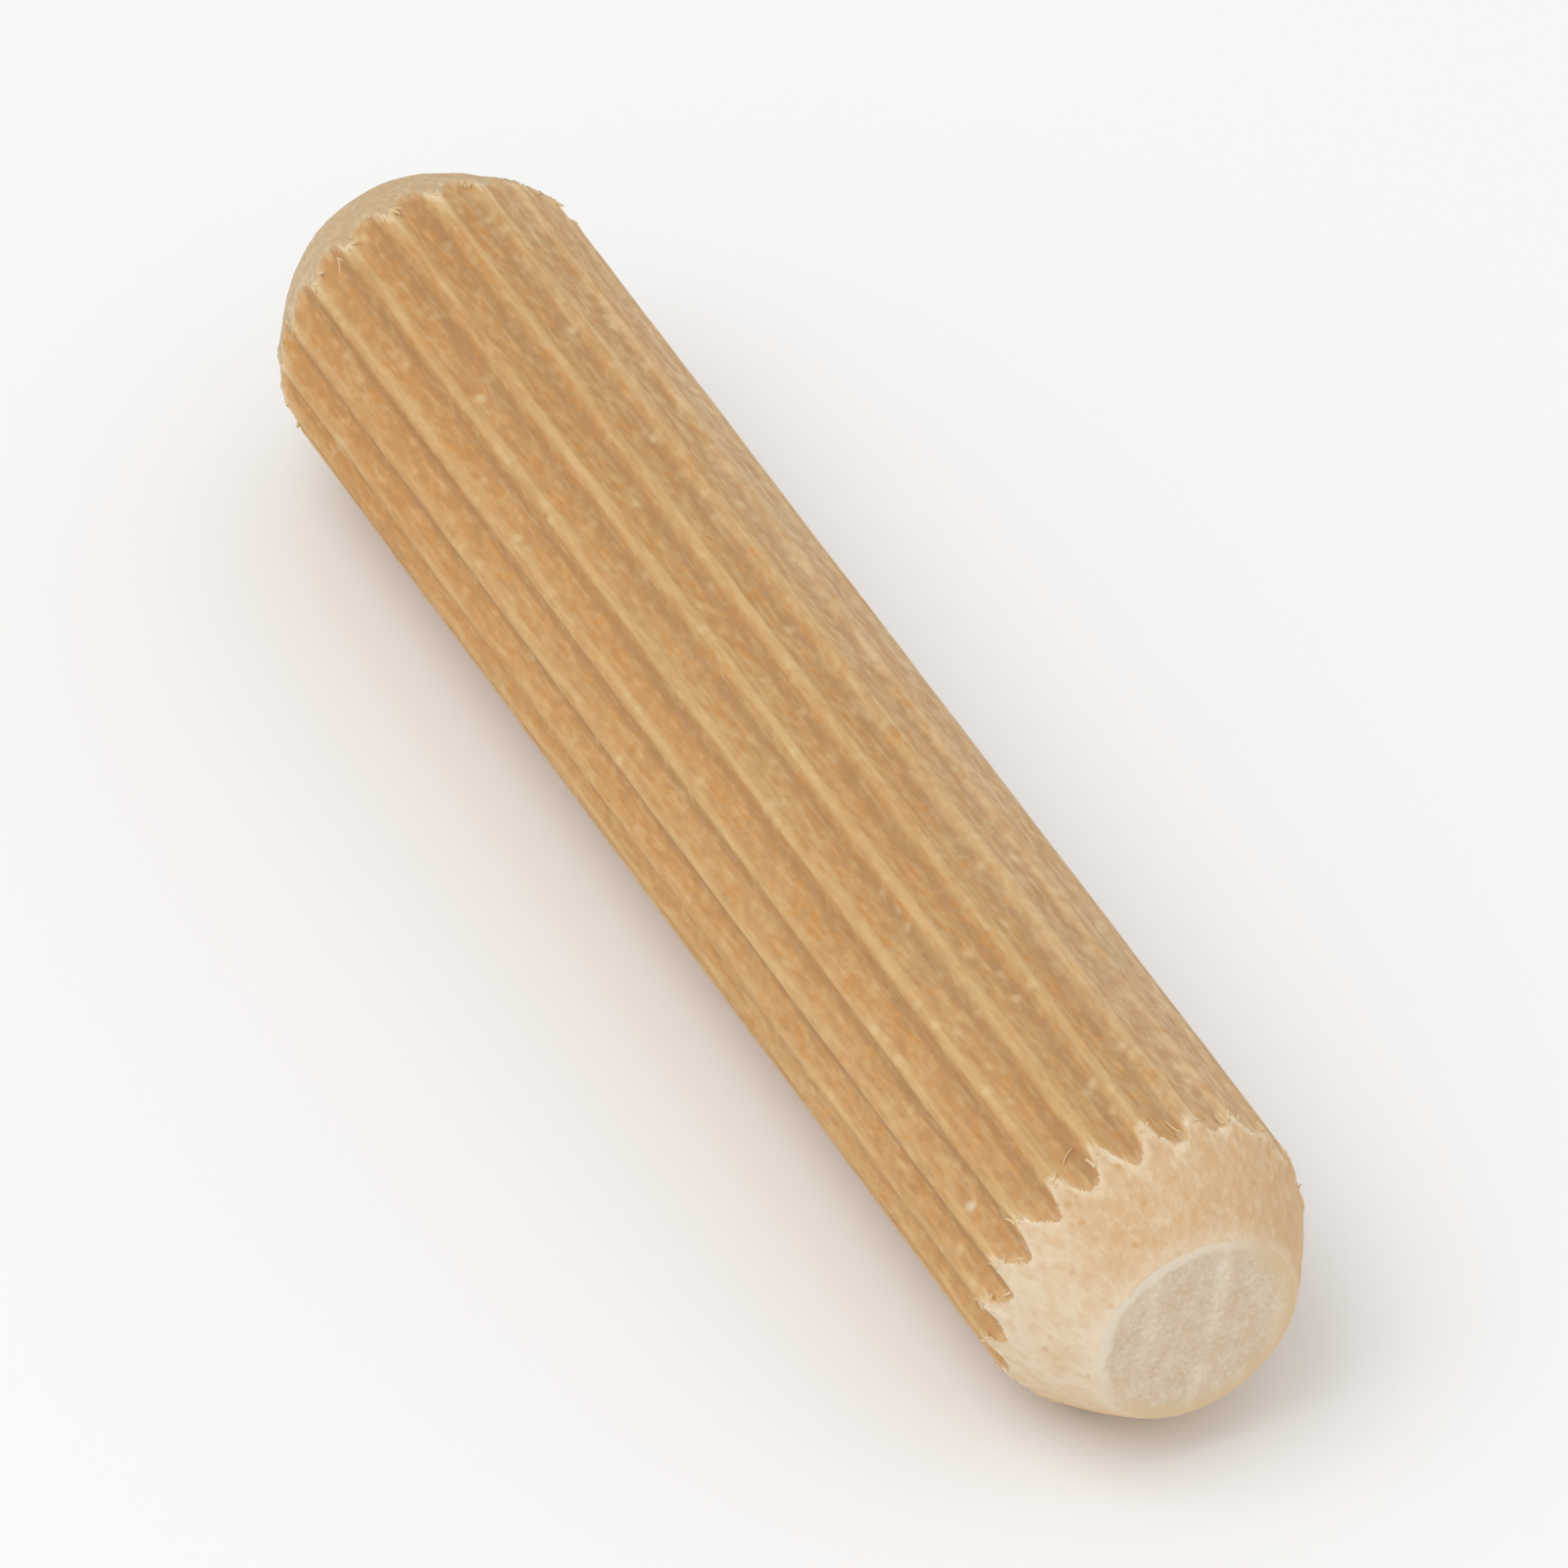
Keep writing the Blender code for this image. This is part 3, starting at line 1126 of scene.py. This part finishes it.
def model_strand(name, length, thickness):
    """A tapered strand along +X from the origin, which curls up."""
    bpy.ops.object.select_all(action="DESELECT")
    bpy.ops.mesh.primitive_cone_add(
        vertices=STRAND_SIDES,
        radius1=thickness / 2,
        radius2=thickness / 2 / STRAND_TAPER,
        depth=length,
        end_fill_type="NGON",
        location=(length / 2, 0.0, 0.0),
        rotation=(0.0, math.pi / 2, 0.0),
    )
    strand = bpy.context.active_object
    strand.name = name
    bpy.ops.object.transform_apply(location=True, rotation=True, scale=True)
    start_editing(strand, "EDGE")
    pick_parts(strand, "edges", lambda edge: edge.calc_length() > length / 2)
    bpy.ops.mesh.subdivide(number_cuts=STRAND_JOINTS)
    bpy.ops.mesh.select_mode(type="VERT")
    step = length / (STRAND_JOINTS + 1)
    for joint in range(STRAND_JOINTS, 0, -1):
        beyond = (joint + 0.5) * step
        if joint == STRAND_JOINTS:
            pick_parts(strand, "verts", lambda vert: vert.co.x > beyond)
        else:
            bpy.ops.mesh.select_more()
        bpy.ops.transform.rotate(
            value=STRAND_BEND / STRAND_JOINTS,
            orient_axis="Y",
            center_override=(joint * step, 0.0, 0.0),
        )
    bpy.ops.mesh.select_all(action="SELECT")
    bpy.ops.transform.resize(value=(1.0, STRAND_SPREAD, 1.0), center_override=(0.0, 0.0, 0.0))
    stop_editing()
    bpy.ops.object.shade_smooth()
    return strand


def lay_strand(strand, x, angle, heading, roll, size, sizes):
    """A copy of the strand, rooted in the pin's surface. A heading of 0 points along +X.

    With no roll it curls away from the surface, and with a quarter turn it curls along it. There is
    no copy if it would come too near the floor or stand off too far.
    """
    radius = surface_radius(x, angle, sizes) - ROOT_DEPTH
    root = on_pin(x, angle, radius)
    outward = (root - on_pin(x, angle, 0.0)).normalized()
    along = Vector((1.0, 0.0, 0.0))
    forward = along * math.cos(heading) + outward.cross(along) * math.sin(heading)
    sideways = outward.cross(forward)
    turn = Matrix((forward, sideways, outward)).transposed().to_4x4()
    turn = turn @ Matrix.Rotation(roll, 4, "X")
    copy = strand.copy()
    copy.data = strand.data.copy()
    copy.data.transform(Matrix.Translation(root) @ turn @ Matrix.Scale(size, 4))
    bpy.context.scene.collection.objects.link(copy)
    lowest = min(vert.co.z for vert in copy.data.vertices)
    furthest = max(radius_of(vert.co) for vert in copy.data.vertices)
    if lowest < FLOOR_CLEARANCE or furthest > sizes.diameter / 2 + STRAND_REACH:
        bpy.data.objects.remove(copy)
        return None
    return copy


class OBJECT_OT_model_frayed_fibres(bpy.types.Operator):
    """Model the loose fibres: tapered strands, scattered where the crests run out"""

    bl_idname = "object.model_frayed_fibres"
    bl_label = "Model Frayed Fibres"

    def execute(self, context):
        sizes = context.scene.dowel_pin_sizes
        fibres = context.scene.dowel_pin_fibres
        chance = random.Random(fibres.seed)
        hair = model_strand("hair", fibres.hair_length, HAIR_THICKNESS)
        curl = model_strand("curl", fibres.curl_length, CURL_THICKNESS)
        pitch = 2 * math.pi / sizes.flute_count
        laid = []
        for end in (-1, 1):
            toward_middle = 0.0 if end < 0 else math.pi
            for crest in range(sizes.flute_count):
                for _ in range(fibres.per_crest):
                    angle = (crest + chance.gauss(0.0, HAIR_ANGLE_SPREAD)) * pitch
                    x = end * (run_out_x(end, angle, sizes) + chance.uniform(*HAIR_PLACES))
                    heading = toward_middle + chance.gauss(0.0, HAIR_HEADING_SPREAD)
                    roll = chance.uniform(-math.pi / 2, math.pi / 2)
                    size = chance.uniform(*HAIR_SIZES)
                    laid.append(lay_strand(hair, x, angle, heading, roll, size, sizes))
        for x, *turns, size in CURLS:
            angle, heading, roll = (math.radians(turn) for turn in turns)
            laid.append(lay_strand(curl, x, angle, heading, roll, size, sizes))
        laid = [strand for strand in laid if strand]
        if not laid:
            raise RuntimeError("no fibre could be laid on the pin")
        bpy.ops.object.select_all(action="DESELECT")
        for strand in laid:
            strand.select_set(True)
        context.view_layer.objects.active = laid[0]
        bpy.ops.object.join()
        piece = context.active_object
        piece.name = "frayed_fibres"
        piece.data.name = "frayed_fibres"
        piece.data.materials.append(fibre_wood(context.scene.dowel_pin_colours))
        for strand in (hair, curl):
            bpy.data.objects.remove(strand)
        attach(piece, "root")
        return {"FINISHED"}


# The stage


def look_at(obj, place, target):
    """Places an object and points its -Z at the target."""
    obj.location = place
    obj.rotation_euler = (Vector(target) - Vector(place)).to_track_quat("-Z", "Y").to_euler()


def floor_finish(colour):
    """A plain, pale, matt floor with a faint unevenness of tone."""
    finish = Finish("floor_paint")
    tone = finish.noise(60 * MM, 60 * MM, seed=1.0)
    shade = tuple(0.985 * part for part in colour)
    mixed = finish.mix(tone, colour, shade)
    return finish.finish_with(mixed, 0.8 + 0.1 * tone, tone, 0.01 * MM, specular=0.1)


class OBJECT_OT_set_dowel_pin_stage(bpy.types.Operator):
    """Set the plain floor, the soft light and the camera"""

    bl_idname = "object.set_dowel_pin_stage"
    bl_label = "Set Stage"

    def execute(self, context):
        stage = context.scene.dowel_pin_stage
        colours = context.scene.dowel_pin_colours
        bpy.ops.object.select_all(action="DESELECT")
        bpy.ops.mesh.primitive_plane_add(size=FLOOR_SIZE)
        floor = context.active_object
        floor.name = "floor"
        floor.data.materials.append(floor_finish(colours.floor))

        bpy.ops.object.light_add(type="AREA")
        lamp = context.active_object
        lamp.name = "large_soft_lamp"
        lamp.data.shape = "DISK"
        lamp.data.size = LAMP_SIZE
        lamp.data.energy = stage.lamp_power
        look_at(lamp, LAMP_PLACE, (0.0, 0.0, 0.0))

        world = bpy.data.worlds.new("pale_room")
        context.scene.world = world
        world.use_nodes = True
        background = world.node_tree.nodes["Background"]
        background.inputs["Color"].default_value = (1.0, 1.0, 1.0, 1.0)
        background.inputs["Strength"].default_value = stage.world_strength

        bpy.ops.object.camera_add()
        camera = context.active_object
        camera.name = "photo_camera"
        camera.data.lens = stage.lens
        camera.data.sensor_width = SENSOR_WIDTH
        camera.data.clip_start, camera.data.clip_end = CAMERA_RANGE
        look_at(camera, CAMERA_PLACE, AXIS_POINT)
        context.scene.camera = camera
        context.scene.view_settings.view_transform = "Standard"
        return {"FINISHED"}


class VIEW3D_PT_dowel_pin(bpy.types.Panel):
    """Buttons and settings of the dowel pin"""

    bl_label = "Dowel Pin"
    bl_idname = "VIEW3D_PT_dowel_pin"
    bl_space_type = "VIEW_3D"
    bl_region_type = "UI"
    bl_category = "Dowel Pin"

    def draw(self, context):
        layout = self.layout
        for operator in OPERATORS:
            layout.operator(operator.bl_idname)
        for settings_name in SETTINGS:
            settings = getattr(context.scene, settings_name)
            box = layout.box()
            for name in settings.__annotations__:
                box.prop(settings, name)


OPERATORS = (
    OBJECT_OT_model_dowel_pin,
    OBJECT_OT_model_frayed_fibres,
    OBJECT_OT_set_dowel_pin_stage,
)
SETTINGS = {
    "dowel_pin_sizes": DowelPinSizes,
    "dowel_pin_colours": DowelPinColours,
    "dowel_pin_fibres": DowelPinFibres,
    "dowel_pin_stage": DowelPinStage,
}
CLASSES = (*SETTINGS.values(), *OPERATORS, VIEW3D_PT_dowel_pin)


def register():
    """Registers the classes, and gives every scene their settings."""
    for cls in CLASSES:
        bpy.utils.register_class(cls)
    for name, cls in SETTINGS.items():
        setattr(bpy.types.Scene, name, PointerProperty(type=cls))


def unregister():
    """Takes back what register does."""
    for name in SETTINGS:
        delattr(bpy.types.Scene, name)
    for cls in reversed(CLASSES):
        bpy.utils.unregister_class(cls)


def main():
    """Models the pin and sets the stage."""
    register()
    bpy.ops.object.model_dowel_pin()
    bpy.ops.object.model_frayed_fibres()
    bpy.ops.object.set_dowel_pin_stage()


if __name__ == "__main__":
    main()
